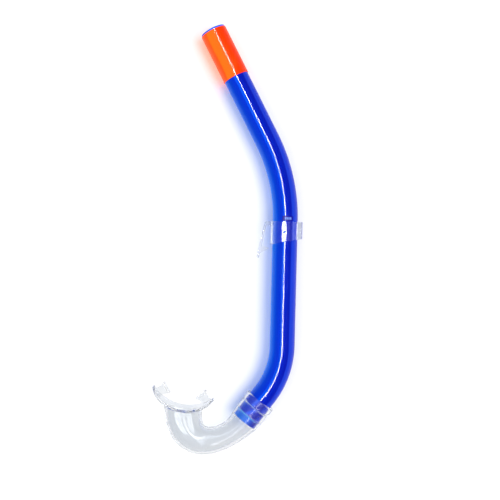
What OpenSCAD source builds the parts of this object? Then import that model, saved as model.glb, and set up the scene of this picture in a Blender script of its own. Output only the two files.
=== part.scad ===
// Open-ended J-type snorkel, lying on its side. The tube's centreline runs in one level plane, the
// J plane. +Y runs up the straight middle of the tube, +X points away from the mouthpiece, +Z is up.

/* [Tube] */
// Outside diameter of the tube
tube_od = 22.7; // [18:0.5:26]
// Wall of the tube
tube_wall = 1.5; // [1:0.1:2.5]
// Straight length above the upper bend
top_straight = 109.8; // [80:0.1:150]
// Centreline radius of the upper bend
top_bend_r = 155.7; // [120:0.1:190]
// Turn of the upper bend, in degrees
top_bend_turn = 27.9; // [15:0.1:35]
// Straight length between the bends
mid_straight = 112; // [95:0.1:150]
// Centreline radius of the lower bend
low_bend_r = 74.3; // [65:0.1:90]
// Turn of the lower bend, in degrees
low_bend_turn = 36.5; // [30:0.1:40]
// Straight end that the cuff goes over, with the bare length above it
spigot_straight = 29.4; // [26:0.1:34]

/* [Safety sleeve] */
// Wall of the coloured sleeve
sleeve_wall = 0.6; // [0.3:0.1:1.2]
// Length of the sleeve
sleeve_length = 45.8; // [30:0.1:60]
// Bare tube left above the sleeve
bare_lip = 1.6; // [1:0.1:5]

/* [Keeper] */
// Height of the band on the side of the hook
band_height = 20.4; // [17:0.1:24]
// How much lower the band is at its two lips
band_taper = 5.4; // [0:0.1:6.5]
// Wall of the band
band_wall = 1.8; // [1.2:0.1:2.5]
// Half of the angle that the band leaves open, in degrees
band_mouth = 42; // [35:1:50]
// Length of each flared lip
lip_length = 5; // [3:0.1:7]
// Width of the strap hook across the tube
hook_width = 9; // [6:0.5:12]
// Height of the strap slot under the hook's bridge
slot_height = 18; // [14:0.5:22]
// Length of tube that the keeper can slide down
keeper_travel = 88; // [60:1:90]

/* [Mouthpiece cuff] */
// Length of the cuff over the tube
cuff_length = 23.6; // [18:0.1:26]
// Radius of the rolled rim at the cuff's open end
rim_r = 14.4; // [13.8:0.1:16]
// Length of the rolled rim
rim_length = 7.2; // [5:0.1:9]

/* [Elbow] */
// How far the mouth lies to the side of the tube's straight middle
mouth_aside = 88.1; // [84:0.1:92]
// How far the mouth lies above the tube's lower end
mouth_rise = 6.4; // [2:0.1:10]
// Direction of the duct where it reaches the mouth, in degrees from +X
mouth_heading = 96; // [88:0.5:100]
// How strongly the duct carries on straight out of the cuff
cuff_pull = 22.7; // [20:0.1:28]
// How strongly the duct carries on straight into the mouth
mouth_pull = 40.8; // [34:0.1:44]
// Half width of the duct at the mouth, in the J plane
mouth_half_w = 16.5; // [15:0.1:17.5]
// Half height of the duct at the mouth, across the J plane
mouth_half_h = 11; // [10:0.1:12]

/* [Lip flange and bite tabs] */
// Radius that the flange is curved to
flange_r = 31; // [29:0.1:34]
// Thickness of the flange
flange_wall = 2.2; // [1.8:0.1:3]
// Half of the angle that the flange spans, in degrees
flange_span = 63; // [55:0.5:68]
// Height of the flange across the J plane
flange_height = 27; // [24:0.1:28.8]
// Angle of each bite tab from the middle of the flange, in degrees
tab_angle = 49.5; // [46:0.1:53]
// Length of each bite tab from the flange to the end of its ridge
tab_reach = 10.2; // [8:0.1:12]
// Thickness of the plate that the teeth close on
tab_thickness = 3; // [2:0.1:4]
// Length of the ridge along the teeth
ridge_length = 11.4; // [9:0.1:13]
// Height of the ridge across the J plane
ridge_height = 8; // [6:0.1:10]

/* [Hidden] */
$fn = 96;

tube_r = tube_od / 2;
bore_r = tube_r - tube_wall;
running_gap = 0.06;   // radial clearance of the parts that slide or turn on the tube
far = 200;            // longer than anything that it cuts

// A unit vector in the J plane at an angle from +X.
function dir(a) = [cos(a), sin(a)];

// Centreline of the tube. [0, 0] is where the straight middle meets the upper bend.
top_heading = 90 + top_bend_turn;
top_centre = [-top_bend_r, 0];
top_bend_end = top_centre + top_bend_r * dir(top_bend_turn);
tube_top = top_bend_end + top_straight * dir(top_heading);
low_heading = -90 - low_bend_turn;
low_centre = [-low_bend_r, -mid_straight];
low_bend_end = low_centre + low_bend_r * dir(-low_bend_turn);
tube_end = low_bend_end + spigot_straight * dir(low_heading);

// Retaining ribs on the spigot, measured back from the tube's lower end.
rib_height = 0.5;
rib_length = 1.4;
rib_places = [6.3, 15.4];
groove_gap = 0.15;    // room around a rib in its groove

// Hair-line rings where the bends meet the straights.
trim = 0.1;
ring_step = 0.08;
ring_length = 1;

// Stop pad that keeps the keeper off the upper bend.
pad_width = 9.4;
pad_length = 4.4;
pad_height = 0.45;
pad_turn = 10;        // round the tube from the top of the part
pad_top = 4.4;

// Keeper.
band_top = pad_top - pad_length - 0.6;
band_inner_r = tube_r + running_gap;
band_outer_r = band_inner_r + band_wall;
lip_flare = 12;
bridge_height = 3.2;
bridge_width = hook_width - 0.6;
arm_wall = 2.1;
arm_lean = 12;
arm_x = -17.6;        // middle of the arm at the bridge
arm_length = bridge_height + slot_height + 10;
barb_reach = 7.8;
barb_height = 6.6;
barb_r = 0.8;
barb_foot = 3.8;      // from the arm's end up to the barb

// Cuff, measured up from the plane where it meets the elbow.
seat_gap = 0.15;      // end play of the tube in the cuff
cuff_bore_r = tube_r + running_gap;
cuff_mid_r = 13.9;
cuff_low_r = 13.5;
cuff_groove_r = 13.3;
cuff_groove = 1;
elbow_r = 13.2;

// Elbow: a smooth curve from the cuff to the mouth, drawn between four points.
elbow_start = tube_end + seat_gap * dir(low_heading);
mouth_point = [-mouth_aside, tube_end[1] + mouth_rise];
curve = [elbow_start, elbow_start + cuff_pull * dir(low_heading),
         mouth_point - mouth_pull * dir(mouth_heading), mouth_point];
elbow_bore_r = bore_r + 0.1;
mouth_wall = 2.2;
waist_pull = 7.2;     // draws the duct in at its tightest place
swell_pull = 14.6;    // lets it out again before the mouth
last_station = 0.95;  // share of the curve after which the duct runs onto the flange
rings = 27;
ring_sides = 36;

// Flange, a patch of a cylinder that stands across the J plane.
flange_heading = 80;  // towards the wearer
flange_shift = 2.5;   // of the duct from the middle of the flange
flange_centre = mouth_point + (flange_r + 0.8) * dir(flange_heading)
    - flange_shift * dir(flange_heading - 90);
flange_inner_r = flange_r - flange_wall / 2;
flange_outer_r = flange_r + flange_wall / 2;
hole_half_w = mouth_half_w - mouth_wall;
hole_half_h = mouth_half_h - mouth_wall;
neck_half = 3.8;
ridge_wall = 2.6;

// The origin is under the middle of the part's box, on the surface that it lies on.
lie_height = max(rim_r, flange_height / 2);
left_x = flange_centre[0] + flange_outer_r * cos(flange_heading + 180 - flange_span);
right_x = (band_inner_r + band_wall / 2) * cos(band_mouth) + lip_length * cos(lip_flare) + band_wall / 2;
high_y = tube_top[1] + tube_r * sin(top_bend_turn);
low_y = min([for (p = duct_rings(false)) p[1]]);
home = [-(left_x + right_x) / 2, -(high_y + low_y) / 2, lie_height];

module rest_frame() { translate(home) children(); }

// Puts +Z along a heading in the J plane, at a point of that plane.
module along(point, heading) {
    translate([point[0], point[1], 0]) rotate([0, 0, heading]) rotate([0, 90, 0]) children();
}

// One straight and one bent length of the tube's wall, each short of its ends by a hair.
module straight_wall(point, heading, length) {
    along(point, heading) difference() {
        translate([0, 0, trim]) cylinder(r = tube_r, h = length - 2 * trim);
        translate([0, 0, -1]) cylinder(r = bore_r, h = length + 2);
    }
}
module bent_wall(centre, radius, turn) {
    translate([centre[0], centre[1], 0]) rotate_extrude(angle = turn)
        translate([radius, 0]) difference() {
            circle(r = tube_r);
            circle(r = bore_r);
        }
}

// The hair-thin ring that closes the wall where a bend begins or ends.
module bend_ring(point, heading) {
    along(point, heading) difference() {
        translate([0, 0, -ring_length / 2]) cylinder(r = tube_r + ring_step, h = ring_length);
        translate([0, 0, -ring_length]) cylinder(r = bore_r - ring_step, h = 2 * ring_length);
    }
}

// Blue barrel: one bent tube with a stop pad and two retaining ribs moulded on it.
module snorkel_tube() {
    color("mediumblue") {
        straight_wall(top_bend_end, top_heading, top_straight + trim);
        bend_ring(top_bend_end, top_heading);
        bent_wall(top_centre, top_bend_r, top_bend_turn);
        bend_ring([0, 0], 90);
        straight_wall([0, -mid_straight], 90, mid_straight);
        bend_ring([0, -mid_straight], 90);
        mirror([0, 1, 0]) bent_wall([low_centre[0], -low_centre[1]], low_bend_r, low_bend_turn);
        bend_ring(low_bend_end, low_heading);
        along(tube_end, low_heading + 180) difference() {
            union() {
                cylinder(r = tube_r, h = spigot_straight - trim);
                for (p = rib_places) translate([0, 0, p - rib_length / 2])
                    cylinder(r = tube_r + rib_height, h = rib_length);
            }
            translate([0, 0, -1]) cylinder(r = bore_r, h = spigot_straight + 2);
        }
        rotate([0, pad_turn, 0]) intersection() {
            translate([0, pad_top, 0]) rotate([90, 0, 0])
                cylinder(r = tube_r + pad_height, h = pad_length);
            translate([-pad_width / 2, pad_top - pad_length, bore_r + tube_wall / 4])
                cube([pad_width, pad_length, tube_r]);
        }
    }
}

// Orange visibility sleeve, shrunk onto the top of the tube.
module safety_sleeve() {
    color("orangered")
        along(tube_top - (bare_lip + sleeve_length) * dir(top_heading), top_heading)
            difference() {
                cylinder(r = tube_r + sleeve_wall, h = sleeve_length);
                translate([0, 0, -1]) cylinder(r = tube_r, h = sleeve_length + 2);
            }
}

// Open ring of the keeper in section, with its lips towards +X.
module band_section() {
    difference() {
        circle(r = band_outer_r);
        circle(r = band_inner_r);
        polygon([[0, 0], far * dir(band_mouth), far * dir(-band_mouth)]);
    }
    for (side = [-1, 1]) {
        translate((band_inner_r + band_wall / 2) * dir(side * band_mouth))
            rotate(side * lip_flare) {
                translate([0, -band_wall / 2]) square([lip_length, band_wall]);
                circle(r = band_wall / 2);
                translate([lip_length, 0]) circle(r = band_wall / 2);
            }
    }
}

// Clear C-shaped band that snaps over the tube, lower at its lips than at the hook.
module keeper_band() {
    slope = atan(band_taper / (right_x + band_outer_r));
    color("lightcyan", 0.5) difference() {
        translate([0, band_top, 0]) rotate([90, 0, 0])
            linear_extrude(height = band_height) band_section();
        translate([-band_outer_r, band_top - band_height, 0]) rotate([0, 0, slope])
            translate([-far / 2, -far, -far / 2]) cube([far, far, far]);
        rotate([90, 0, 0]) translate([0, 0, -far / 2]) cylinder(r = band_inner_r, h = far);
    }
}

// Points of an arc.
function arc(centre, r, from, to, steps = 8) =
    [for (i = [0:steps]) centre + r * dir(from + (to - from) * i / steps)];

// Outline of the arm that leans out from the bridge, with its barb and its round end.
arm_outline = concat(
    arc([0, 0], arm_wall / 2, 0, 180), arc([0, -arm_length], arm_wall / 2, 180, 360),
    [[arm_wall / 2, barb_foot - arm_length]],
    arc([barb_reach - barb_r, barb_foot + barb_height - barb_r - arm_length], barb_r, -80, 90),
    [[arm_wall / 2, barb_foot + barb_height - arm_length]]);

// Clear hook beside the band that holds the strap of the mask.
module keeper_hook() {
    color("lightcyan", 0.5) difference() {
        union() {
            translate([arm_x, band_top - bridge_height, -bridge_width / 2])
                cube([-arm_x - band_outer_r * 0.8, bridge_height, bridge_width]);
            translate([arm_x, band_top - arm_wall / 2 - 0.4, -hook_width / 2])
                rotate([0, 0, -arm_lean]) linear_extrude(height = hook_width) polygon(arm_outline);
        }
        rotate([90, 0, 0]) translate([0, 0, -far / 2]) cylinder(r = band_outer_r, h = far);
    }
}

// Wall of the cuff in section, turned round the axis of the spigot.
module cuff_section() {
    round_r = 1.6;
    body_top = cuff_length - rim_length - cuff_groove;
    difference() {
        union() {
            polygon([[0, 0], [elbow_r, 0], [cuff_low_r, 4], [cuff_mid_r, 9],
                     [cuff_mid_r, body_top], [0, body_top]]);
            square([cuff_groove_r, cuff_length - round_r]);
            translate([0, cuff_length - rim_length + round_r])
                square([rim_r, rim_length - 2 * round_r]);
            translate([0, cuff_length - rim_length]) square([rim_r - round_r, rim_length]);
            for (y = [cuff_length - round_r, cuff_length - rim_length + round_r])
                translate([rim_r - round_r, y]) circle(r = round_r);
        }
        translate([-1, -1]) square([cuff_bore_r + 1, cuff_length + 2]);
        for (p = rib_places)
            translate([0, p + seat_gap - rib_length / 2 - groove_gap])
                square([tube_r + rib_height + groove_gap, rib_length + 2 * groove_gap]);
    }
}

// Soft clear cuff with a rolled rim, which goes over the spigot and its two ribs.
module mouthpiece_cuff() {
    color("aliceblue", 0.5) along(elbow_start, low_heading + 180) rotate_extrude() cuff_section();
}

// A smooth curve through the first and last of four values or points, drawn by the two between.
function smooth(c, u) =
    pow(1 - u, 3) * c[0] + 3 * u * pow(1 - u, 2) * c[1] + 3 * u * u * (1 - u) * c[2] + pow(u, 3) * c[3];
function tangent(c, u) =
    pow(1 - u, 2) * (c[1] - c[0]) + 2 * u * (1 - u) * (c[2] - c[1]) + u * u * (c[3] - c[2]);

// Half width and half height of the duct, outside or inside, at a share of its length.
function duct_half(u, inside) =
    let (w = smooth([elbow_r, waist_pull, swell_pull, mouth_half_w], u),
         h = smooth([elbow_r, mouth_half_h, mouth_half_h, mouth_half_h], u),
         wall = smooth([elbow_r - elbow_bore_r, 1.6, mouth_wall, mouth_wall], u))
    inside ? [w - wall, h - wall] : [w, h];

// One ring of points round the duct's centreline, in the plane across it.
function ring_at(u, half) =
    let (c = smooth(curve, u), t = tangent(curve, u), side = [t[1], -t[0]] / norm(t))
    [for (k = [0:ring_sides - 1]) let (a = 360 * k / ring_sides, p = c + half[0] * cos(a) * side)
        [p[0], p[1], half[1] * sin(a)]];

// The last ring, whose points lie on the outside of the flange.
function ring_on_flange(half) = [for (k = [0:ring_sides - 1]) let (a = 360 * k / ring_sides,
    side = flange_shift + half[0] * cos(a), back = sqrt(pow(flange_outer_r, 2) - side * side),
    p = flange_centre - back * dir(flange_heading) + side * dir(flange_heading - 90))
    [p[0], p[1], half[1] * sin(a)]];

function duct_rings(inside) = concat(
    [for (i = [0:rings - 1]) let (u = last_station * i / (rings - 1))
        each ring_at(u, duct_half(u, inside))],
    ring_on_flange(duct_half(1, inside)));

// Index of a point of the duct: wall 0 is the outside, wall 1 the inside.
function at(wall, ring, k) = (wall * (rings + 1) + ring) * ring_sides + k % ring_sides;

// Soft clear duct, round at the cuff and oval at the mouth.
module mouthpiece_elbow() {
    last = rings;
    outside = [for (i = [0:last - 1]) for (k = [0:ring_sides - 1])
        [at(0, i, k), at(0, i, k + 1), at(0, i + 1, k + 1), at(0, i + 1, k)]];
    inside = [for (i = [0:last - 1]) for (k = [0:ring_sides - 1])
        [at(1, i, k), at(1, i + 1, k), at(1, i + 1, k + 1), at(1, i, k + 1)]];
    start = [for (k = [0:ring_sides - 1]) [at(0, 0, k), at(1, 0, k), at(1, 0, k + 1), at(0, 0, k + 1)]];
    end = [for (k = [0:ring_sides - 1])
        [at(0, last, k), at(0, last, k + 1), at(1, last, k + 1), at(1, last, k)]];
    color("aliceblue", 0.5) polyhedron(
        points = concat(duct_rings(false), duct_rings(true)),
        faces = concat(outside, inside, start, end), convexity = 8);
}

// Half height of the flange at an angle from its middle, falling to nothing at its tips.
function flange_half(a) = flange_height / 2 * sqrt(1 - pow(abs(a) / (flange_span + 1), 2.2));
flange_steps = 24;
flange_edge = [for (i = [-flange_steps:flange_steps]) let (a = flange_span * i / flange_steps)
    [flange_outer_r * sin(a), flange_half(a)]];

// Frame of the flange: origin on its axis, +X towards the wearer, +Z up.
module flange_frame() {
    translate([flange_centre[0], flange_centre[1], 0]) rotate([0, 0, flange_heading]) children();
}

// Cuts along +X through an outline drawn in the plane across it.
module across_flange() {
    rotate([90, 0, -90]) linear_extrude(height = far / 2) children();
}

// Soft clear flange that sits between the lips and the gums.
module lip_flange() {
    color("aliceblue", 0.5) flange_frame() difference() {
        intersection() {
            translate([0, 0, -far / 2]) cylinder(r = flange_outer_r, h = far);
            across_flange() polygon(concat(flange_edge, [for (p = flange_edge) [-p[0], -p[1]]]));
            translate([0, 0, -far / 2]) linear_extrude(height = far)
                polygon([[0, 0], far * dir(180 - flange_span), [-far, 0], far * dir(180 + flange_span)]);
        }
        translate([0, 0, -far / 2]) cylinder(r = flange_inner_r, h = far);
        across_flange() translate([flange_shift, 0]) polygon([for (k = [0:ring_sides - 1])
            [hole_half_w * cos(360 * k / ring_sides), hole_half_h * sin(360 * k / ring_sides)]]);
    }
}

// A bite tab inside the flange: a waisted plate with a tall ridge at its end.
module bite_tab(side) {
    plate_end = flange_inner_r - tab_reach + ridge_wall / 2;
    color("aliceblue", 0.5) flange_frame() rotate([0, 0, 180 + side * tab_angle]) intersection() {
        union() {
            translate([0, 0, -tab_thickness / 2]) linear_extrude(height = tab_thickness)
                polygon([[flange_inner_r + 1, neck_half + 0.8], [flange_inner_r - 1.5, neck_half],
                         [flange_inner_r - 5, neck_half], [plate_end, ridge_length / 2 - 1],
                         [plate_end, 1 - ridge_length / 2], [flange_inner_r - 5, -neck_half],
                         [flange_inner_r - 1.5, -neck_half], [flange_inner_r + 1, -neck_half - 0.8]]);
            translate([0, 0, -ridge_height / 2]) linear_extrude(height = ridge_height)
                translate([plate_end, 0]) {
                    square([ridge_wall, ridge_length - ridge_wall], center = true);
                    for (end = [-1, 1])
                        translate([0, end * (ridge_length - ridge_wall) / 2]) circle(d = ridge_wall);
                }
        }
        translate([0, 0, -far / 2]) cylinder(r = flange_inner_r, h = far);
    }
}

rest_frame() snorkel_tube();
rest_frame() safety_sleeve();
rest_frame() keeper_band();
rest_frame() keeper_hook();
rest_frame() mouthpiece_cuff();
rest_frame() mouthpiece_elbow();
rest_frame() lip_flange();
rest_frame() bite_tab(-1);  // bite_tab_left
rest_frame() bite_tab(1);  // bite_tab_right
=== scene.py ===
# Open-ended J-type snorkel, laid flat on a pale floor: blue barrel, orange safety sleeve, clear
# keeper and clear soft mouthpiece. Pieces are shaped in millimetres in the barrel's own plane and
# then put in the shared frame, in metres.
from math import asin, atan2, copysign, cos, degrees, pi, radians, sin

import bmesh
import bpy
from mathutils import Matrix, Vector


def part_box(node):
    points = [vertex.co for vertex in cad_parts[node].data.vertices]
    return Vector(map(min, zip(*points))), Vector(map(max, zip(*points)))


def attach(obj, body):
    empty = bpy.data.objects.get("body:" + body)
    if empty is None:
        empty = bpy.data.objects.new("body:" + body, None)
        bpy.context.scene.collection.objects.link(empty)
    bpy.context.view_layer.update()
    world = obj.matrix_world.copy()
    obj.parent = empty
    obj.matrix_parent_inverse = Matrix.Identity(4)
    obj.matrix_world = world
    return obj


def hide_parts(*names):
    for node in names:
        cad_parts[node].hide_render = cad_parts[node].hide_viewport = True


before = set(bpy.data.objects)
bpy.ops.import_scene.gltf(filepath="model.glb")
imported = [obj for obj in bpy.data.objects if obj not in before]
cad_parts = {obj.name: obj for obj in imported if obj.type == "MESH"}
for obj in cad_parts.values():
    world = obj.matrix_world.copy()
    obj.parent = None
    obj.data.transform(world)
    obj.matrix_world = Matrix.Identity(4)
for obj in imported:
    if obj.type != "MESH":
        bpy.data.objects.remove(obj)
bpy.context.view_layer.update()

# ---------------------------------------------------------------- sizes, in millimetres
TUBE_R, TUBE_WALL = 11.35, 1.5
BORE_R = TUBE_R - TUBE_WALL
TOP_STRAIGHT, TOP_BEND_R, TOP_TURN = 109.8, 155.7, 27.9
MID_STRAIGHT, LOW_BEND_R, LOW_TURN = 112.0, 74.3, 36.5
SPIGOT = 29.4
RIB_PLACES, RIB_HEIGHT, RIB_LENGTH = (6.3, 15.4), 0.5, 1.4
SLEEVE_WALL, SLEEVE_LENGTH, BARE_LIP = 0.6, 45.8, 1.6
RUNNING_GAP = 0.06
BAND_WALL, BAND_TOP, BAND_HEIGHT, BAND_TAPER = 1.8, -0.6, 20.4, 5.4
BAND_INNER = TUBE_R + RUNNING_GAP
BAND_OUTER = BAND_INNER + BAND_WALL
BAND_MOUTH, LIP_LENGTH, LIP_FLARE = 42.0, 5.0, 12.0
LIPS_FROM = 10.2
LAND_MID, LAND_HALF, LAND_TOP = -1.1, 2.1, 13.25
GATE_R, GATE_TOP_R, GATE_DEPTH, GATE_DOWN = 1.5, 0.9, 0.6, 9.4
PAD_WIDTH, PAD_LENGTH, PAD_TOP, PAD_HEIGHT, PAD_TURN = 9.4, 4.4, 4.4, 0.45, 10.0
HOOK_WIDTH, ARM_X, ARM_WALL, ARM_LEAN, HOOK_DRAFT = 9.0, -17.6, 2.1, 12.0, 0.2
BRIDGE_HEIGHT, SLOT_HEIGHT = 3.2, 18.0
ARM_LENGTH = BRIDGE_HEIGHT + SLOT_HEIGHT + 10
BARB_REACH, BARB_HEIGHT, BARB_FOOT, BARB_R = 7.8, 6.6, 3.8, 0.8
CUFF_LENGTH, RIM_R, RIM_LENGTH = 23.6, 14.4, 7.2
ELBOW_R, ELBOW_BORE = 13.2, 9.95
MOUTH_HALF_W, MOUTH_HALF_H, MOUTH_WALL, PARTING_LINE = 16.5, 11.0, 2.2, 0.3
FLANGE_R, FLANGE_WALL, FLANGE_SPAN, FLANGE_HALF = 31.0, 2.2, 63.0, 13.5
FLANGE_HEADING, FLANGE_SHIFT, FLANGE_BOW = 80.0, 2.5, 3.2
TAB_ANGLE, TAB_REACH, TAB_THICK = 49.5, 10.2, 3.0
RIDGE_LENGTH, RIDGE_HEIGHT, RIDGE_WALL = 11.4, 8.0, 2.6


def dir2(angle):
    """Unit vector in the J plane at an angle from +X, in degrees."""
    return Vector((cos(radians(angle)), sin(radians(angle)), 0))


band_low, band_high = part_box("keeper_band")
HOME = Vector((band_low.x * 1000 + BAND_OUTER, band_high.y * 1000 - BAND_TOP,
               (band_low.z + band_high.z) * 500))
TO_ROW = Matrix.Scale(0.001, 4) @ Matrix.Translation(HOME)

# ---------------------------------------------------------------- centreline of the barrel
TOP_HEADING = 90 + TOP_TURN
LOW_HEADING = -90 - LOW_TURN
TOP_CENTRE = Vector((-TOP_BEND_R, 0, 0))
TOP_BEND_END = TOP_CENTRE + TOP_BEND_R * dir2(TOP_TURN)
TUBE_TOP = TOP_BEND_END + TOP_STRAIGHT * dir2(TOP_HEADING)
LOW_CENTRE = Vector((-LOW_BEND_R, -MID_STRAIGHT, 0))
LOW_BEND_END = LOW_CENTRE + LOW_BEND_R * dir2(-LOW_TURN)
TUBE_END = LOW_BEND_END + SPIGOT * dir2(LOW_HEADING)
TOP_ARC = TOP_BEND_R * radians(TOP_TURN)
LOW_ARC = LOW_BEND_R * radians(LOW_TURN)
TUBE_LENGTH = TOP_STRAIGHT + TOP_ARC + MID_STRAIGHT + LOW_ARC + SPIGOT


def on_barrel(s):
    """Point and heading at a length s down the barrel from its top end."""
    down = TOP_HEADING - 180
    if s <= TOP_STRAIGHT:
        return TUBE_TOP + s * dir2(down), down
    s -= TOP_STRAIGHT
    if s <= TOP_ARC:
        turn = degrees(s / TOP_BEND_R)
        return TOP_CENTRE + TOP_BEND_R * dir2(TOP_TURN - turn), down - turn
    s -= TOP_ARC
    if s <= MID_STRAIGHT:
        return Vector((0, -s, 0)), -90
    s -= MID_STRAIGHT
    if s <= LOW_ARC:
        turn = degrees(s / LOW_BEND_R)
        return LOW_CENTRE + LOW_BEND_R * dir2(-turn), -90 - turn
    return LOW_BEND_END + (s - LOW_ARC) * dir2(LOW_HEADING), LOW_HEADING


# ---------------------------------------------------------------- shaping with rings
def hoop(point, heading, half_w, half_h, sides):
    """Points of an oval across a heading in the J plane."""
    across = dir2(heading - 90)
    return [point + across * (half_w * cos(2 * pi * k / sides))
            + Vector((0, 0, half_h * sin(2 * pi * k / sides))) for k in range(sides)]


def carry(bm, hoops):
    """A ring of edges carried through the hoops; where the last is the first, the wall closes."""
    ring = bmesh.ops.create_circle(bm, segments=len(hoops[0]), radius=1)["verts"]
    for vert, point in zip(ring, hoops[0]):
        vert.co = point
    for points in hoops[1:]:
        edges = [bm.edges.get(pair) for pair in zip(ring, ring[1:] + ring[:1])]
        grown = set(bmesh.ops.extrude_edge_only(bm, edges=edges)["geom"])
        ring = [next(e.other_vert(v) for e in v.link_edges if e.other_vert(v) in grown)
                for v in ring]
        for vert, point in zip(ring, points):
            vert.co = point


def finish_mesh(name, bm, sharp=38):
    """Welds, faces outwards, puts the piece in the shared frame and smooths all but its edges."""
    bmesh.ops.remove_doubles(bm, verts=bm.verts, dist=1e-3)
    bmesh.ops.recalc_face_normals(bm, faces=bm.faces)
    bmesh.ops.transform(bm, matrix=TO_ROW, verts=bm.verts)
    mesh = bpy.data.meshes.new(name)
    bm.to_mesh(mesh)
    bm.free()
    mesh.shade_smooth()
    mesh.set_sharp_from_angle(angle=radians(sharp))
    obj = bpy.data.objects.new(name, mesh)
    bpy.context.scene.collection.objects.link(obj)
    return obj


def dress(obj, finish, slot, body, *nodes):
    """Gives a piece its finish, its body and the CAD nodes that it stands for."""
    obj.data.materials.clear()
    obj.data.materials.append(finish)
    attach(obj, body)
    if nodes:
        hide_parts(*nodes)
    return obj


def join_solids(main, *others):
    """One closed solid from touching ones."""
    for other in others:
        tool = main.modifiers.new("join", "BOOLEAN")
        tool.operation, tool.solver, tool.object = "UNION", "EXACT", other
    graph = bpy.context.evaluated_depsgraph_get()
    mesh = bpy.data.meshes.new_from_object(main.evaluated_get(graph))
    main.modifiers.clear()
    main.data = mesh
    for other in others:
        bpy.data.objects.remove(other)
    return main


# ---------------------------------------------------------------- shader nodes
class Wire:
    """A shader socket that takes part in sums."""

    def __init__(self, nodes, socket):
        self.nodes, self.socket = nodes, socket

    def sum(self, operation, *terms):
        return self.nodes.add("ShaderNodeMath", {"operation": operation}, dict(enumerate(terms)))

    def __add__(self, other): return self.sum("ADD", self, other)
    def __sub__(self, other): return self.sum("SUBTRACT", self, other)
    def __mul__(self, other): return self.sum("MULTIPLY", self, other)
    def __pow__(self, other): return self.sum("POWER", self, other)
    def __rsub__(self, other): return self.sum("SUBTRACT", other, self)
    __radd__, __rmul__ = __add__, __mul__

    def at_least(self, other): return self.sum("MAXIMUM", self, other)
    def size(self): return self.sum("ABSOLUTE", self)

    def step(self, low, high):
        """0 below low, 1 above high, smooth between."""
        return self.nodes.add("ShaderNodeMapRange", {"interpolation_type": "SMOOTHSTEP"},
                              {"Value": self, "From Min": low, "From Max": high})


class Finish:
    """A material under construction."""

    def __init__(self, name):
        self.material = bpy.data.materials.new(name)
        self.material.use_nodes = True
        self.tree = self.material.node_tree
        self.tree.nodes.clear()

    def add(self, kind, settings=None, sockets=None, out=0):
        """A node: its settings first, then the values or links of its sockets."""
        node = self.tree.nodes.new(kind)
        for key, value in (settings or {}).items():
            if key == "stops":
                ramp = node.color_ramp
                while len(ramp.elements) < len(value):
                    ramp.elements.new(0.5)
                for stop, (place, colour) in zip(ramp.elements, value):
                    stop.position, stop.color = place, (*colour, 1)
            else:
                setattr(node, key, value)
        for key, value in (sockets or {}).items():
            socket = node.inputs[key]
            if isinstance(value, Wire):
                self.tree.links.new(value.socket, socket)
            elif isinstance(value, tuple) and socket.type == "RGBA":
                socket.default_value = (*value, 1)
            else:
                socket.default_value = value
        return Wire(self, node.outputs[out])

    def place(self):
        return self.add("ShaderNodeTexCoord", out="Object")

    def split(self, vector):
        parts = self.add("ShaderNodeSeparateXYZ", None, {0: vector})
        return [Wire(self, out) for out in parts.socket.node.outputs]

    def noise(self, scale, detail=3.0, rough=0.5, place=None, stretch=(1, 1, 1)):
        spot = self.add("ShaderNodeMapping", None, {"Vector": place or self.place(),
                                                    "Scale": stretch})
        return self.add("ShaderNodeTexNoise", None, {"Vector": spot, "Scale": scale,
                                                     "Detail": detail, "Roughness": rough})

    def blend(self, share, one, other):
        """A colour between two, by a share."""
        return self.add("ShaderNodeMix", {"data_type": "RGBA"}, {0: share, 6: one, 7: other}, out=2)

    def bump(self, height, strength, distance):
        return self.add("ShaderNodeBump", None, {"Height": height, "Strength": strength,
                                                 "Distance": distance})

    def lamp_rays_through(self, shader, tint, bounced=False, within=None):
        """Rays from the lamps pass with a tint, so that the shadow is soft and coloured. On a
        clear piece the light that bounced off its neighbours passes too."""
        share = self.add("ShaderNodeLightPath", out="Is Shadow Ray")
        if within:
            share = share * within
        if bounced:
            share = share.at_least(self.add("ShaderNodeLightPath", out="Is Diffuse Ray"))
        clear = self.add("ShaderNodeBsdfTransparent", None, {"Color": tint})
        return self.add("ShaderNodeMixShader", None, {0: share, 1: shader, 2: clear})

    def done(self, shader):
        end = self.tree.nodes.new("ShaderNodeOutputMaterial")
        self.tree.links.new(shader.socket, end.inputs["Surface"])
        return self.material


# Painted light and shade round a piece, from its left side, 0, to its right side, 1: bands painted
# paler, darker and as highlight or reflection over the piece's own colour.
BARREL_PAINTED_LIGHT = [
    (0.0, (0.0, 0.22, 0.95)), (0.08, (0.0, 0.12, 0.86)), (0.2, (0.0, 0.045, 0.68)),
    (0.37, (0.0, 0.03, 0.64)), (0.44, (0.0, 0.1, 0.95)), (0.49, (0.0, 0.07, 0.85)),
    (0.54, (0.0, 0.012, 0.46)), (0.72, (0.0, 0.006, 0.35)), (0.76, (0.0, 0.028, 0.54)),
    (0.92, (0.01, 0.04, 0.56)), (1.0, (0.03, 0.03, 0.42))]
# Painted light on the sleeve: a paler band on its left side over its orange.
SLEEVE_PAINTED_LIGHT = [
    (0.0, (1.0, 0.06, 0.012)), (0.2, (1.0, 0.055, 0.01)), (0.24, (1.0, 0.155, 0.008)),
    (0.46, (1.0, 0.14, 0.008)), (0.54, (1.0, 0.045, 0.0)), (0.8, (1.0, 0.028, 0.0)),
    (1.0, (1.0, 0.05, 0.01))]
SHELL_IOR, SOFT_IOR = 1.49, 1.41


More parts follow.
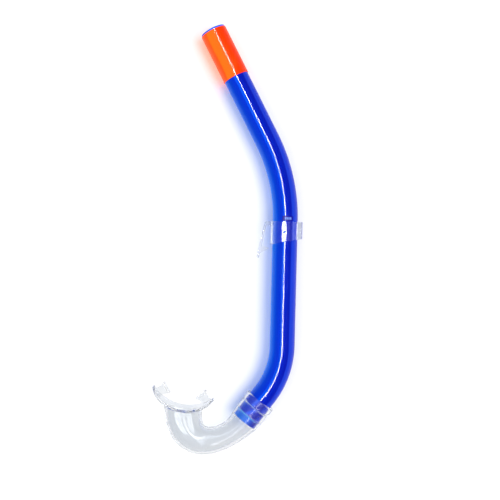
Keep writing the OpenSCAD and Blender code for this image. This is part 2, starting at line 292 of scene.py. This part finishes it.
def barrel_blue():
    """Tinted glossy plastic with painted light and shade: painted deeper where the wall lies in its
    own shade, painted paler and glowing where light gathers along its left side, with fine handling
    marks and dust in the gloss."""
    f = Finish("barrel_blue")
    normal_x = f.split(f.add("ShaderNodeNewGeometry", out="Normal"))[0]
    cloud = f.noise(28, 2)
    # Painted light and shade: the colour follows the side of the barrel that the surface faces.
    painted_light_side = normal_x * 0.5 + 0.5 + (cloud - 0.5) * 0.03
    colour = f.add("ShaderNodeValToRGB", {"stops": BARREL_PAINTED_LIGHT}, {"Fac": painted_light_side})
    colour = f.blend(cloud.step(0.35, 0.8) * 0.1, colour, (0.0, 0.05, 0.8))
    # Painted light: near the cut lower end the left side is painted paler, for light that the end
    # takes in.
    x, y, z = f.split(f.place())
    low_axis, top_axis = dir2(LOW_HEADING), dir2(TOP_HEADING)
    up = ((TUBE_END + HOME) / 1000).dot(low_axis) - (x * low_axis.x + y * low_axis.y)
    painted_end_light = up.step(0.0062, 0.0050)
    colour = f.blend(painted_end_light * (0 - normal_x).step(-0.45, 0.35) * 0.8, colour, (0.0, 0.2, 0.98))
    # Painted highlight: a pale line on the left side of each rib.
    for place, share, ring in zip(RIB_PLACES, (0.9, 0.8), ((0.05, 0.4, 1.0), (0.3, 0.45, 0.95))):
        painted_rib_highlight = (up - place / 1000).size().step(0.0011, 0.0006)
        colour = f.blend(painted_rib_highlight * (0 - normal_x).step(-0.6, 0.2) * share, colour, ring)
    # Painted glow: the left side emits a faint blue, for light gathered through the wall.
    painted_glow = f.blend((0 - normal_x).step(0.4, 1.0), (0.0, 0.0, 0.0), (0.0, 0.04, 0.2))
    # Painted light: the bare lip at the top is painted paler and glows too.
    along_top = x * top_axis.x + y * top_axis.y
    from_top = along_top - ((TUBE_TOP + HOME) / 1000).dot(top_axis)
    lip = from_top.step(-0.0022, -0.0012)
    colour = f.blend(lip * 0.9, colour, (0.0, 0.13, 0.8))
    painted_glow = f.blend(lip, painted_glow, (0.0, 0.03, 0.12))
    marks = f.noise(900, 2, 0.6, stretch=(1, 0.08, 1)).step(0.6, 0.72)
    gripped = 1 - up.step((CUFF_LENGTH - 1) / 1000, CUFF_LENGTH / 1000)
    rough = 0.05 + cloud * 0.04 + marks * 0.1 + gripped * 0.6
    bump = f.bump(f.noise(60, 1.5), 0.04, 0.0008)
    body = f.add("ShaderNodeBsdfPrincipled", None, {
        "Base Color": colour, "Roughness": rough, "IOR": 1.5, "Specular IOR Level": 0.15,
        "Normal": bump, "Emission Color": painted_glow, "Emission Strength": 1.0})
    # Under the sleeve the light that passes is the sleeve's.
    edge = (TUBE_TOP + (BARE_LIP + SLEEVE_LENGTH) * dir2(TOP_HEADING - 180) + HOME) / 1000
    covered = (along_top - edge.dot(top_axis)).step(-0.0005, 0.0005)
    body = f.lamp_rays_through(body, (0.62, 0.72, 0.84))
    return f.done(f.lamp_rays_through(body, (1.0, 0.9, 0.86), within=covered))


def pad_plastic(name, colour):
    """Matt finish of the stop pad, worn a little paler in patches."""
    f = Finish(name)
    wear = f.noise(700, 3)
    worn = tuple(min(1.0, part * 1.3 + 0.02) for part in colour)
    body = f.add("ShaderNodeBsdfPrincipled", None, {
        "Base Color": f.blend(wear.step(0.5, 0.8) * 0.5, colour, worn),
        "Roughness": 0.42 + wear * 0.15, "Specular IOR Level": 0.1,
        "Normal": f.bump(wear, 0.1, 0.0002)})
    return f.done(body)


def sleeve_orange():
    """Fluorescent orange film, glossy, with faint streaks along its length, painted paler and
    glowing on its left side as painted light.
    """
    f = Finish("sleeve_orange")
    normal_x = f.split(f.add("ShaderNodeNewGeometry", out="Normal"))[0]
    streaks = f.noise(140, 3, 0.6, stretch=(1, 0.15, 1))
    colour = f.add("ShaderNodeValToRGB", {"stops": SLEEVE_PAINTED_LIGHT},
                   {"Fac": normal_x * 0.5 + 0.5 + (streaks - 0.5) * 0.05})
    colour = f.blend(streaks.step(0.35, 0.75) * 0.15, colour, (1.0, 0.2, 0.02))
    # Painted glow on the sleeve, strongest on its left side.
    painted_glow = f.blend((0.3 - normal_x).step(0.0, 1.2), (0.08, 0.004, 0.0), (0.62, 0.055, 0.002))
    rough = 0.1 + streaks * 0.08
    bump = f.bump(f.noise(220, 2), 0.06, 0.0003)
    body = f.add("ShaderNodeBsdfPrincipled", None, {
        "Base Color": colour, "Roughness": rough, "IOR": 1.5, "Specular IOR Level": 0.12,
        "Normal": bump, "Emission Color": painted_glow, "Emission Strength": 1.0})
    return f.done(f.lamp_rays_through(body, (1.0, 0.86, 0.78)))


def clear_plastic(name, middle, edge, rough, ior, passes, line=0.0):
    """Clear moulding with a little haze and flow lines, painted cooler and greyer towards its
    edges: painted shade for the grey contours that refraction gives, partly the longer path through
    the plastic where more of it is looked through."""
    f = Finish(name)
    haze = f.noise(70, 3)
    flow = f.noise(200, 2, 0.5, stretch=(1, 0.3, 1))
    # Painted shade: greyer where the surface is seen edge-on, partly real depth.
    edge_shade_and_depth = f.add("ShaderNodeLayerWeight", None, {"Blend": 0.5}, out="Facing")
    colour = f.blend(edge_shade_and_depth ** 2.5 * 0.8, middle, edge)
    if line:
        height = f.split(f.place())[2]
        parting = (height - HOME.z / 1000).size().step(PARTING_LINE / 600, PARTING_LINE / 1000)
        colour = f.blend(parting * line, colour, (0.3, 0.36, 0.46))
    body = f.add("ShaderNodeBsdfPrincipled", None, {
        "Base Color": colour,
        "Roughness": rough + haze.step(0.35, 0.8) * 0.05, "IOR": ior,
        "Transmission Weight": 1.0,
        "Normal": f.bump(flow, 0.03, 0.0005)})
    return f.done(f.lamp_rays_through(body, passes, bounced=True))


# ---------------------------------------------------------------- barrel
SIDES = 96


def wall_hoops(outline, sides=SIDES):
    """Hoops round the barrel's centreline for an outline of (length down the barrel, radius)."""
    hoops = []
    for s, radius in outline:
        point, heading = on_barrel(min(max(s, 0), TUBE_LENGTH))
        hoops.append(hoop(point, heading, radius, radius, sides))
    return hoops


def rounded(s, radius, out_s, out_r, size, steps=4):
    """A quarter round between an end face and a side: out_s and out_r say which way they face."""
    return [(s + out_s * size * (cos(pi / 2 * k / steps) - 1),
             radius + out_r * size * (sin(pi / 2 * k / steps) - 1)) for k in range(steps + 1)]


def make_barrel():
    straight_marks = [2, 20, 45, 75, TOP_STRAIGHT]
    bend_marks = [TOP_STRAIGHT + TOP_ARC * k / 14 for k in range(1, 15)]
    low_start = TOP_STRAIGHT + TOP_ARC + MID_STRAIGHT
    middle = [low_start - 84, low_start - 56, low_start - 28, low_start]
    low_marks = [low_start + LOW_ARC * k / 18 for k in range(1, 19)]
    run = straight_marks + bend_marks + middle + low_marks
    ribs = []
    for place in sorted(RIB_PLACES, reverse=True):
        s = TUBE_LENGTH - place
        half = RIB_LENGTH / 2
        profile = ((half + 0.25, 0), (half, 0.12), (half - 0.25, 0.42), (0.2, RIB_HEIGHT))
        ribs += [(s - off, TUBE_R + rise) for off, rise in profile]
        ribs += [(s + off, TUBE_R + rise) for off, rise in reversed(profile)]
    outline = (rounded(0, TUBE_R, -1, 1, 0.45) + [(s, TUBE_R) for s in run] + ribs
               + rounded(TUBE_LENGTH, TUBE_R, 1, 1, 0.45)[::-1]
               + rounded(TUBE_LENGTH, BORE_R, 1, -1, 0.45)
               + [(s, BORE_R) for s in reversed(run)] + rounded(0, BORE_R, -1, -1, 0.45)[::-1])
    outline.append(outline[0])
    bm = bmesh.new()
    carry(bm, wall_hoops(outline))
    return finish_mesh("barrel", bm)


def make_stop_pad(bars):
    """Low pad moulded on the barrel above the keeper, or the four plain bars on it."""
    bm = bmesh.new()

    def slab(low_x, high_x, low_y, high_y, low_r, high_r):
        made = bmesh.ops.create_grid(bm, x_segments=12, y_segments=1, size=0.5)["verts"]
        faces = list({face for v in made for face in v.link_faces})
        grown = bmesh.ops.extrude_face_region(bm, geom=faces)["geom"]
        lifted = {g for g in grown if isinstance(g, bmesh.types.BMVert)}
        for vert in list(made) + list(lifted):
            radius = high_r if vert in lifted else low_r
            x = low_x + (vert.co.x + 0.5) * (high_x - low_x)
            angle = x / TUBE_R + radians(PAD_TURN)
            y = low_y + (vert.co.y + 0.5) * (high_y - low_y)
            vert.co = (radius * sin(angle), y, radius * cos(angle))

    if not bars:
        slab(-PAD_WIDTH / 2, PAD_WIDTH / 2, PAD_TOP - PAD_LENGTH, PAD_TOP, TUBE_R - 0.5,
             TUBE_R + PAD_HEIGHT)
        return finish_mesh("stop_pad", bm, 25)
    for k in range(4):
        middle = (k - 1.5) * 1.5
        slab(middle - 0.5, middle + 0.5, PAD_TOP - 3.2, PAD_TOP - 1.2, TUBE_R + PAD_HEIGHT - 0.1,
             TUBE_R + PAD_HEIGHT + 0.12)
    return finish_mesh("stop_pad_bars", bm, 25)


def make_sleeve():
    low, high = BARE_LIP, BARE_LIP + SLEEVE_LENGTH
    outer = TUBE_R + SLEEVE_WALL
    outline = (rounded(low, outer, -1, 1, 0.3) + [(low + 6, outer), (low + 20, outer),
               (high - 6, outer)] + rounded(high, outer, 1, 1, 0.3)[::-1]
               + [(high, TUBE_R + 0.01), (low, TUBE_R + 0.01)])
    outline.append(outline[0])
    bm = bmesh.new()
    carry(bm, wall_hoops(outline))
    return finish_mesh("sleeve", bm)


# ---------------------------------------------------------------- keeper
def arc(centre, radius, start, stop, steps=8):
    return [centre + radius * dir2(start + (stop - start) * k / steps) for k in range(steps + 1)]


def thick_plate(outline, low, high, edge, segments=3):
    """A solid from an outline in the XY plane, between two heights, with its rims rounded."""
    bm = bmesh.new()
    verts = [bm.verts.new((p.x, p.y, low)) for p in outline]
    face = bm.faces.new(verts)
    grown = bmesh.ops.extrude_face_region(bm, geom=[face])["geom"]
    bmesh.ops.translate(bm, vec=(0, 0, high - low),
                        verts=[g for g in grown if isinstance(g, bmesh.types.BMVert)])
    bmesh.ops.recalc_face_normals(bm, faces=bm.faces)
    rims = [e for e in bm.edges if abs(e.verts[0].co.z - e.verts[1].co.z) < 1e-4]
    bmesh.ops.bevel(bm, geom=rims, offset=edge, segments=segments, profile=0.5, material=-1,
                    affect="EDGES", clamp_overlap=True)
    return bm


def make_keeper():
    mouth = BAND_MOUTH
    middle = BAND_INNER + BAND_WALL / 2
    sides = []
    for side in (1, -1):
        root = middle * dir2(side * mouth)
        out = dir2(side * LIP_FLARE)
        up = dir2(side * (LIP_FLARE + 90))
        tip = root + LIP_LENGTH * out
        far_side = tip + up * (BAND_WALL / 2)
        near_side = tip - up * (BAND_WALL / 2)
        sides.append((root + up * (BAND_WALL / 2) + out * 1.2, far_side, near_side,
                      root - up * (BAND_WALL / 2) + out * 0.5, tip, out, up))
    top, low = sides
    outline = arc(Vector((0, 0, 0)), BAND_OUTER, mouth + 2, 360 - mouth - 2, 84)
    # A flat land along the top of the band, drawn as a chord.
    land = [p for p in outline if not (p.y > 0 and abs(p.x - LAND_MID) < LAND_HALF)]
    first = next(k for k, p in enumerate(land) if p.x < LAND_MID)
    outline = (land[:first] + [Vector((LAND_MID + LAND_HALF, LAND_TOP, 0)),
                               Vector((LAND_MID - LAND_HALF, LAND_TOP, 0))] + land[first:])
    outline += [low[0], low[1]]
    outline += [low[4] + BAND_WALL / 2 * (low[6] * cos(a) + low[5] * sin(a))
                for a in [pi * k / 6 for k in range(1, 6)]]
    outline += [low[2], low[3]]
    outline += arc(Vector((0, 0, 0)), BAND_INNER, 360 - mouth - 2, mouth + 2, 84)
    outline += [top[3], top[2]]
    outline += [top[4] + BAND_WALL / 2 * (top[6] * cos(a) + top[5] * sin(a))
                for a in [pi * k / 6 for k in range(5, 0, -1)]]
    outline += [top[1], top[0]]
    bm = thick_plate(outline, 0, BAND_HEIGHT, 0.45)
    # Stand the section across the barrel and slope its lower rim up towards the lips.
    bmesh.ops.rotate(bm, cent=(0, 0, 0), matrix=Matrix.Rotation(radians(90), 3, "X"),
                     verts=bm.verts)
    reach = (BAND_OUTER + middle * cos(radians(mouth)) + LIP_LENGTH + 1)
    for vert in bm.verts:
        down = -vert.co.y / BAND_HEIGHT
        lift = BAND_TAPER * (vert.co.x + BAND_OUTER) / reach
        vert.co.y = BAND_TOP + vert.co.y + lift * down
    return finish_mesh("keeper", bm, 40)


def make_hook():
    r = ARM_WALL / 2
    origin = Vector((0, 0, 0))
    foot = Vector((0, -ARM_LENGTH, 0))
    barb = Vector((BARB_REACH - BARB_R, BARB_FOOT + BARB_HEIGHT - BARB_R - ARM_LENGTH, 0))
    outline = arc(origin, r, 0, 180) + arc(foot, r, 180, 360)
    outline += [Vector((r, BARB_FOOT - ARM_LENGTH, 0))] + arc(barb, BARB_R, -80, 90)
    outline += [Vector((r, BARB_FOOT + BARB_HEIGHT - ARM_LENGTH, 0))]
    bm = thick_plate(outline, -HOOK_WIDTH / 2, HOOK_WIDTH / 2, 0.7, 4)
    for vert in bm.verts:
        vert.co.z -= copysign(HOOK_DRAFT * (vert.co.x + r), vert.co.z)
    bmesh.ops.rotate(bm, cent=(0, 0, 0), matrix=Matrix.Rotation(radians(-ARM_LEAN), 3, "Z"),
                     verts=bm.verts)
    bmesh.ops.translate(bm, vec=(ARM_X, BAND_TOP - r - 0.4, 0), verts=bm.verts)
    return finish_mesh("hook", bm, 40)


def make_bridge():
    bm = bmesh.new()
    bmesh.ops.create_cube(bm, size=1)
    right = -BAND_INNER * 0.985
    bmesh.ops.scale(bm, vec=(right - ARM_X, BRIDGE_HEIGHT, HOOK_WIDTH - 0.6), verts=bm.verts)
    bmesh.ops.translate(bm, vec=((right + ARM_X) / 2, BAND_TOP - BRIDGE_HEIGHT / 2, 0),
                        verts=bm.verts)
    for vert in bm.verts:
        vert.co.z -= copysign(HOOK_DRAFT * (vert.co.x - ARM_X), vert.co.z)
    bmesh.ops.bevel(bm, geom=list(bm.edges), offset=0.35, segments=3, profile=0.5, material=-1,
                    affect="EDGES")
    return finish_mesh("bridge", bm, 40)


def make_gate_mark():
    """Low round button that the mould's gate leaves on the flat land."""
    bm = bmesh.new()
    bmesh.ops.create_cone(bm, cap_ends=True, segments=32, radius1=GATE_R, radius2=GATE_TOP_R,
                          depth=GATE_DEPTH)
    rim = [e for e in bm.edges if e.verts[0].co.z > 0 and e.verts[1].co.z > 0]
    bmesh.ops.bevel(bm, geom=rim, offset=0.2, segments=3, profile=0.5, material=-1, affect="EDGES")
    top = max(bm.faces, key=lambda face: face.calc_center_median().z)
    bmesh.ops.inset_region(bm, faces=[top], thickness=0.3, depth=-0.3)
    bmesh.ops.translate(bm, vec=(LAND_MID + 0.1, BAND_TOP - GATE_DOWN, LAND_TOP + 0.05),
                        verts=bm.verts)
    return finish_mesh("gate_mark", bm, 40)


# ---------------------------------------------------------------- mouthpiece
ELBOW_START = TUBE_END + 0.15 * dir2(LOW_HEADING)
MOUTH = Vector((-88.1, TUBE_END.y + 6.4, 0))
CURVE = (ELBOW_START, ELBOW_START + 22.7 * dir2(LOW_HEADING), MOUTH - 40.8 * dir2(96), MOUTH)
FLANGE_CENTRE = (MOUTH + (FLANGE_R + 0.8) * dir2(FLANGE_HEADING)
                 - FLANGE_SHIFT * dir2(FLANGE_HEADING - 90))


def smooth(c, u):
    v = 1 - u
    return v ** 3 * c[0] + 3 * u * v ** 2 * c[1] + 3 * u * u * v * c[2] + u ** 3 * c[3]


def tangent(c, u):
    return (1 - u) ** 2 * (c[1] - c[0]) + 2 * u * (1 - u) * (c[2] - c[1]) + u * u * (c[3] - c[2])


def duct_half(u, inside):
    w = smooth((ELBOW_R, 7.2, 14.6, MOUTH_HALF_W), u)
    h = smooth((ELBOW_R, MOUTH_HALF_H, MOUTH_HALF_H, MOUTH_HALF_H), u)
    wall = smooth((ELBOW_R - ELBOW_BORE, 1.6, MOUTH_WALL, MOUTH_WALL), u)
    return (w - wall, h - wall) if inside else (w, h)


def duct_hoop(u, inside, sides):
    t = tangent(CURVE, u)
    half_w, half_h = duct_half(u, inside)
    points = hoop(smooth(CURVE, u), degrees(atan2(t.y, t.x)), half_w, half_h, sides)
    if not inside:
        for k in (0, sides // 2):
            points[k] += (points[k] - smooth(CURVE, u)).normalized() * PARTING_LINE
    return points


def on_flange(radius, angle, z):
    """A point of the flange at an angle round its axis from its middle, in radians."""
    across = dir2(FLANGE_HEADING - 90)
    return (FLANGE_CENTRE - radius * cos(angle) * dir2(FLANGE_HEADING)
            + radius * sin(angle) * across + Vector((0, 0, z)))


def bow(z):
    """How far the flange's middle bulges away from the wearer, and its rims towards them."""
    return FLANGE_BOW * (0.4 - 1.1 * (z / FLANGE_HALF) ** 2)


def flange_hoop(radius, half_w, half_h, spread, inset, sides):
    """A ring on the flange between the duct's oval (spread 0) and the flange's rim (spread 1)."""
    points = []
    for k in range(sides):
        c, s = cos(2 * pi * k / sides), sin(2 * pi * k / sides)
        near_angle = asin((FLANGE_SHIFT + half_w * c) / radius)
        near_z = half_h * s
        rim_angle = (radians(FLANGE_SPAN) - inset / radius) * copysign(abs(c) ** 0.909, c)
        rim_z = (FLANGE_HALF - inset) * s
        angle = near_angle + (rim_angle - near_angle) * spread
        z = near_z + (rim_z - near_z) * spread
        fade = 1 - (abs(angle) / radians(FLANGE_SPAN)) ** 4
        points.append(on_flange(radius + bow(z) * fade, angle, z))
    return points


def make_mouthpiece():
    sides = 112
    axis = LOW_HEADING + 180

    def cuff(s, radius):
        return hoop(ELBOW_START + s * dir2(axis), LOW_HEADING, radius, radius, sides)

    hoops = []
    # Outside of the cuff, from the plane of the elbow up to the rolled rim.
    body_top = CUFF_LENGTH - RIM_LENGTH - 1.0
    outside = [(0, ELBOW_R), (2, 13.34), (4, 13.5), (6.5, 13.72), (9, 13.88), (12, 13.9),
               (body_top - 0.25, 13.9), (body_top - 0.05, 13.8), (body_top, 13.6),
               (body_top + 0.03, 13.2), (body_top + 0.2, 13.05), (body_top + 0.45, 13.0)]
    rim_low, round_r = CUFF_LENGTH - RIM_LENGTH, 1.6
    outside += [(rim_low - 0.2, 13.0), (rim_low - 0.02, 13.1)]
    outside += [(rim_low + round_r * (1 - cos(a)), RIM_R - round_r + round_r * sin(a))
                for a in [pi / 2 * k / 6 for k in range(2, 7)]]
    outside += [(CUFF_LENGTH - round_r + round_r * sin(a), RIM_R - round_r + round_r * cos(a))
                for a in [pi / 2 * k / 6 for k in range(0, 7)]]
    bore = BAND_INNER
    inside = [(CUFF_LENGTH, bore + 0.55), (CUFF_LENGTH - 0.15, bore + 0.2),
              (CUFF_LENGTH - 0.6, bore)]
    groove_r = TUBE_R + RIB_HEIGHT + 0.15
    for place in sorted(RIB_PLACES, reverse=True):
        s, half = place + 0.15, RIB_LENGTH / 2 + 0.15
        profile = ((half + 0.1, bore), (half, bore + 0.1), (half - 0.15, groove_r - 0.05),
                   (half - 0.35, groove_r))
        inside += [(s + off, radius) for off, radius in profile]
        inside += [(s - off, radius) for off, radius in reversed(profile)]
    inside += [(0.35, bore), (0.08, bore - 0.15), (0.0, bore - 0.5), (0.0, ELBOW_BORE + 0.25),
               (-0.1, ELBOW_BORE + 0.05)]
    # One closed skin: cuff outside, duct outside, flange round its rim, duct inside, cuff inside.
    hoops += [cuff(s, r) for s, r in reversed(outside)]
    steps = 44
    stations = [0.95 * k / steps for k in range(1, steps + 1)]
    hoops += [duct_hoop(u, False, sides) for u in stations[:-1]]
    outer, inner = FLANGE_R + FLANGE_WALL / 2, FLANGE_R - FLANGE_WALL / 2
    w, h = MOUTH_HALF_W, MOUTH_HALF_H
    hoops += [flange_hoop(outer + 1.1, w - 0.05, h + 0.02, 0, 0, sides),
              flange_hoop(outer + 0.55, w + 0.12, h + 0.15, 0, 0, sides),
              flange_hoop(outer + 0.2, w + 0.45, h + 0.4, 0, 0, sides),
              flange_hoop(outer + 0.03, w + 0.95, h + 0.8, 0, 0, sides),
              flange_hoop(outer, w + 1.4, h + 1.1, 0, 0, sides)]
    hoops += [flange_hoop(outer, w + 1.4, h + 1.1, t, 0.9, sides) for t in (0.3, 0.6, 0.85, 1)]
    lip = FLANGE_WALL / 2
    hoops += [flange_hoop(FLANGE_R + lip * cos(a), w, h, 1, 0.9 - 0.9 * sin(a), sides)
              for a in [pi * k / 8 for k in range(1, 8)]]
    iw, ih = w - MOUTH_WALL, h - MOUTH_WALL
    hoops += [flange_hoop(inner, iw + 0.7, ih + 0.7, t, 0.9, sides)
              for t in (1, 0.85, 0.6, 0.3, 0)]
    hoops += [flange_hoop(inner + 0.2, iw + 0.2, ih + 0.2, 0, 0, sides),
              flange_hoop(inner + 0.7, iw, ih, 0, 0, sides),
              flange_hoop(outer - 0.2, iw, ih, 0, 0, sides)]
    hoops += [duct_hoop(u, True, sides) for u in reversed(stations)]
    hoops += [cuff(s, r) for s, r in reversed(inside)]
    hoops.append(hoops[0])
    bm = bmesh.new()
    carry(bm, hoops)
    return finish_mesh("mouthpiece", bm, 50)


def make_bite_tab(name, side):
    """A waisted plate with a tall ridge at its end, inside the flange."""
    inner = FLANGE_R - FLANGE_WALL / 2
    end = inner - TAB_REACH + RIDGE_WALL / 2
    outline = [Vector((x, half_width, 0)) for x, half_width in (
        (inner + 1.4, 4.9), (inner - 0.6, 4.2), (inner - 2.2, 3.8), (inner - 4.6, 3.8),
        (inner - 6.2, 4.2), (end, 4.9))]
    outline += [Vector((p.x, -p.y, 0)) for p in reversed(outline)]
    plate = thick_plate(outline, -TAB_THICK / 2, TAB_THICK / 2, 0.5)
    half = (RIDGE_LENGTH - RIDGE_WALL) / 2
    post = (arc(Vector((end, half, 0)), RIDGE_WALL / 2, 0, 180, 10)
            + arc(Vector((end, -half, 0)), RIDGE_WALL / 2, 180, 360, 10))
    ridge = thick_plate(post, -RIDGE_HEIGHT / 2, RIDGE_HEIGHT / 2, 0.9, 4)
    spot = (Matrix.Translation(FLANGE_CENTRE)
            @ Matrix.Rotation(radians(FLANGE_HEADING + 180 + side * TAB_ANGLE), 4, "Z"))
    pieces = []
    for part, bm in (("plate", plate), ("ridge", ridge)):
        bmesh.ops.transform(bm, matrix=spot, verts=bm.verts)
        pieces.append(finish_mesh(name + "_" + part, bm, 40))
    return join_solids(*pieces)


# ---------------------------------------------------------------- the snorkel
blue, orange = barrel_blue(), sleeve_orange()
KEEPER_PASSES, MOUTHPIECE_PASSES = (0.965, 0.975, 0.985), (0.96, 0.97, 0.98)
# The second colour of each clear finish is its painted edge shade.
clear = clear_plastic("keeper_clear", (0.97, 0.98, 1.0), (0.72, 0.77, 0.86), 0.03, SHELL_IOR,
                      KEEPER_PASSES)
frosted = clear_plastic("keeper_frosted", (0.79, 0.81, 0.84), (0.52, 0.57, 0.67), 0.08, SHELL_IOR,
                        KEEPER_PASSES)
soft = clear_plastic("mouthpiece_clear", (0.84, 0.853, 0.87), (0.54, 0.6, 0.7), 0.06, SOFT_IOR,
                     MOUTHPIECE_PASSES, line=0.8)

navy, pale = pad_plastic("pad_navy", (0.0, 0.003, 0.28)), pad_plastic("pad_pale", (0.16, 0.28, 0.8))
coloured = [dress(make_barrel(), blue, "blue_tube", "tube", "snorkel_tube"),
            dress(make_stop_pad(bars=False), navy, "blue_tube", "tube"),
            dress(make_stop_pad(bars=True), pale, "blue_tube", "tube"),
            dress(make_sleeve(), orange, "orange_sleeve", "tube", "safety_sleeve")]
keeper = join_solids(make_keeper(), make_bridge(), make_hook(), make_gate_mark())
dress(keeper, clear, "clear_keeper", "keeper", "keeper_band", "keeper_hook")
mouthpiece = join_solids(make_mouthpiece(), make_bite_tab("tab_left", -1),
                         make_bite_tab("tab_right", 1))
dress(mouthpiece, soft, "clear_mouthpiece", "mouthpiece", "mouthpiece_cuff", "mouthpiece_elbow",
      "lip_flange", "bite_tab_left", "bite_tab_right")
# The hook and the lips of the keeper are hazier than its band.
keeper.data.materials.append(frosted)
for face in keeper.data.polygons:
    aside = face.center.x * 1000 - HOME.x
    face.material_index = int(aside < -BAND_OUTER - 0.2 or aside > LIPS_FROM)
for obj in (keeper, mouthpiece):
    obj.data.shade_smooth()
    obj.data.set_sharp_from_angle(angle=radians(50))
    even = obj.modifiers.new("even_normals", "WEIGHTED_NORMAL")
    even.weight, even.keep_sharp = 100, True


# ---------------------------------------------------------------- floor, lights and camera
FLOOR_SIZE, FLOOR_WHITE = 30, (0.92, 0.92, 0.92)
STRIP_HEIGHT, STRIP_WIDTH, STRIP_LENGTH = 0.80, 0.11, 1.8
KEY_FROM, KEY_SPREAD = Vector((1.0, -0.1, 1.9)), 30
WORLD_SEEN, WORLD_AROUND = 1.0, 0.28


def make_floor():
    bm = bmesh.new()
    bmesh.ops.create_grid(bm, x_segments=1, y_segments=1, size=FLOOR_SIZE)
    mesh = bpy.data.meshes.new("floor")
    bm.to_mesh(mesh)
    bm.free()
    floor = bpy.data.objects.new("floor", mesh)
    bpy.context.scene.collection.objects.link(floor)
    f = Finish("floor_white")
    # The studio's far walls keep the floor white where the lamps no longer reach it.
    away = f.add("ShaderNodeVectorMath", {"operation": "LENGTH"}, {0: f.place()}, out="Value")
    floor.data.materials.append(f.done(f.add("ShaderNodeBsdfPrincipled", None, {
        "Base Color": FLOOR_WHITE, "Roughness": 0.9, "Specular IOR Level": 0.1,
        "Emission Color": f.blend(away.step(0.4, 2.5), (0.0, 0.0, 0.0), (0.3, 0.3, 0.3)),
        "Emission Strength": 1.0})))


def shine_on(light, parts):
    lit = bpy.data.collections.new(light.name + "_lights")
    for part in parts:
        lit.objects.link(part)
    light.light_linking.receiver_collection = lit


def lamp(name, place, aim, width, height, power, gloss=True, diffuse=True, on=()):
    """A soft box; one that is only for some pieces lights no others."""
    data = bpy.data.lights.new(name, "AREA")
    data.shape, data.size, data.size_y = "RECTANGLE", width, height
    data.energy = power
    obj = bpy.data.objects.new(name, data)
    obj.location = place
    obj.rotation_euler = (Vector(aim) - Vector(place)).to_track_quat("-Z", "Y").to_euler()
    obj.visible_glossy, obj.visible_diffuse = gloss, diffuse
    if on:
        shine_on(obj, on)
    bpy.context.scene.collection.objects.link(obj)
    return obj


make_floor()
lamp("fill_top", (0.0, 0.0, 2.0), (0, 0, 0), 3.0, 3.0, 20.0, gloss=False)
for name, x, power, parts in (("strip_colours", 0.03, 56.0, coloured),
                              ("strip_keeper", 0.065, 18.0, [keeper]),
                              ("strip_mouthpiece", 0.03, 3.0, [mouthpiece])):
    lamp(name, (x, 0.0, STRIP_HEIGHT), (x, 0.0, 0), STRIP_WIDTH, STRIP_LENGTH, power,
         diffuse=False, on=parts)
lamp("low_right", (1.1, 0.0, 0.32), (0, 0, 0.0), 2.4, 0.5, 3.0, diffuse=False)


def key(name, strength, clear_only=()):
    """The key light from the right; a clear piece takes its share of it from its own key."""
    data = bpy.data.lights.new(name, "SUN")
    data.energy, data.angle = strength, radians(KEY_SPREAD)
    obj = bpy.data.objects.new(name, data)
    obj.rotation_euler = KEY_FROM.to_track_quat("Z", "Y").to_euler()
    obj.visible_glossy, obj.visible_diffuse = False, not clear_only
    obj.visible_transmission = bool(clear_only)
    if clear_only:
        shine_on(obj, clear_only)
    bpy.context.scene.collection.objects.link(obj)


key("key_right", 2.25)
key("key_mouthpiece", 1.7, [mouthpiece])

# Pale studio round the table, white where the camera looks past the floor.
world = bpy.data.worlds.new("studio")
world.use_nodes = True
tree = world.node_tree
seen, around = tree.nodes.new("ShaderNodeBackground"), tree.nodes["Background"]
for shade, strength in ((seen, WORLD_SEEN), (around, WORLD_AROUND)):
    shade.inputs["Color"].default_value = (1, 1, 1, 1)
    shade.inputs["Strength"].default_value = strength
mixed = tree.nodes.new("ShaderNodeMixShader")
tree.links.new(tree.nodes.new("ShaderNodeLightPath").outputs["Is Camera Ray"], mixed.inputs[0])
tree.links.new(around.outputs[0], mixed.inputs[1])
tree.links.new(seen.outputs[0], mixed.inputs[2])
tree.links.new(mixed.outputs[0], tree.nodes["World Output"].inputs["Surface"])
bpy.context.scene.world = world

# Light goes through many clear walls, so it may bounce often.
cycles = bpy.context.scene.cycles
cycles.caustics_refractive = cycles.caustics_reflective = False
cycles.max_bounces, cycles.glossy_bounces = 32, 24
cycles.transmission_bounces, cycles.transparent_max_bounces = 32, 48

camera_data = bpy.data.cameras.new("camera")
camera_data.lens, camera_data.sensor_width = 61.2, 36.0
camera_data.clip_start = 0.01
camera = bpy.data.objects.new("camera", camera_data)
camera.location = (0.01932, -0.00862, 0.7794)
camera.rotation_euler = (0, 0, radians(1.44))
bpy.context.scene.collection.objects.link(camera)
bpy.context.scene.camera = camera
bpy.context.scene.view_settings.view_transform = "Standard"
